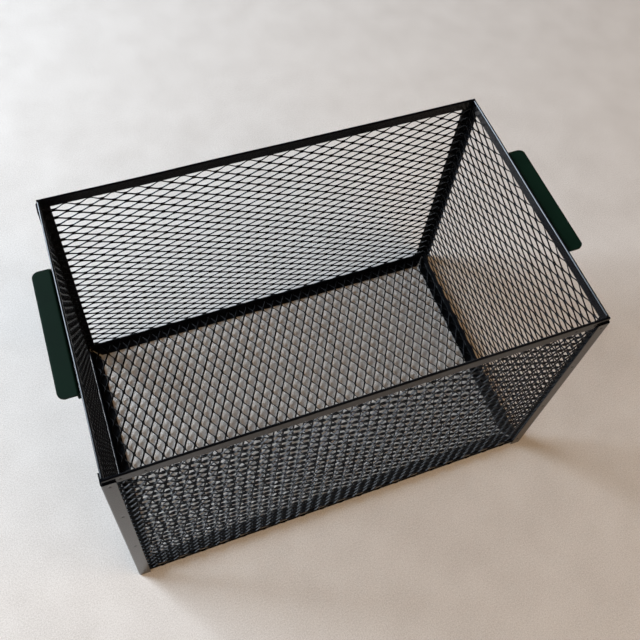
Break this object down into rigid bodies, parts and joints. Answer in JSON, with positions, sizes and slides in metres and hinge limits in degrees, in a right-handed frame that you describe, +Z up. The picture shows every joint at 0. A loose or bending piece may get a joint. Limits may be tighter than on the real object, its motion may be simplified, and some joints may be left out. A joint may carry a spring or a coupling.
{
  "type": "mesh desktop file organizer",
  "caption": "Open-top rectangular box of black expanded metal in a folded sheet-steel frame, with a tab handle at each short side, for files and papers.",
  "frame": {"origin": "on the desk, under the middle of the box", "axes": "+X along the long side towards the right handle, +Y towards the back, +Z up"},
  "size_m": [0.386, 0.22, 0.24],
  "materials": {
    "frame_black": "black powder coat, satin",
    "mesh_black": "black powder coat, satin",
    "handle_green": "dark green paint, matt to satin"
  },
  "bodies": {
    "root": {"post_front_left": "frame_black", "post_front_right": "frame_black", "post_back_left": "frame_black", "post_back_right": "frame_black", "rim_front": "frame_black", "rim_back": "frame_black", "rim_left": "frame_black", "rim_right": "frame_black", "base_front": "frame_black", "base_back": "frame_black", "base_left": "frame_black", "base_right": "frame_black", "mesh_front": "mesh_black", "mesh_back": "mesh_black", "mesh_left": "mesh_black", "mesh_right": "mesh_black", "mesh_floor": "mesh_black", "handle_left": "handle_green", "handle_right": "handle_green"}
  },
  "joints": []
}
